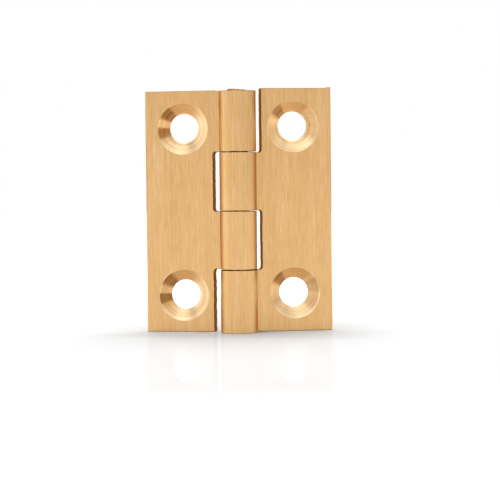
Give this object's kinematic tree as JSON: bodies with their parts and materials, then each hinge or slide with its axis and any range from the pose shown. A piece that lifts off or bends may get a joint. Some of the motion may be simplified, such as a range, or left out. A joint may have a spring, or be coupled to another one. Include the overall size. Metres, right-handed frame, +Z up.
{
  "type": "butt hinge",
  "caption": "Small solid drawn brass butt hinge with interleaved knuckles on a headless pin and countersunk screw holes, standing on its end with the leaves folded a little back.",
  "frame": {"origin": "on the pin's axis, at the hinge's lower end, which it stands on", "axes": "+Z up along the pin; the left leaf lies along -X with its back towards +Y, and the countersinks face -Y"},
  "size_m": [0.0189, 0.0075, 0.0253],
  "materials": {
    "leaf_brass": "satin, brushed along the pin",
    "pin_brass": "satin"
  },
  "bodies": {
    "left_leaf_and_pin": {"left_leaf": "leaf_brass", "pin": "pin_brass"},
    "right_leaf": {"right_leaf": "leaf_brass"}
  },
  "joints": [
    {"name": "leaf_swing", "type": "hinge", "parent": "left_leaf_and_pin", "child": "right_leaf", "pos_m": [0, 0, 0], "axis": [0, 0, 1], "range_deg": [-209, 82]}
  ]
}
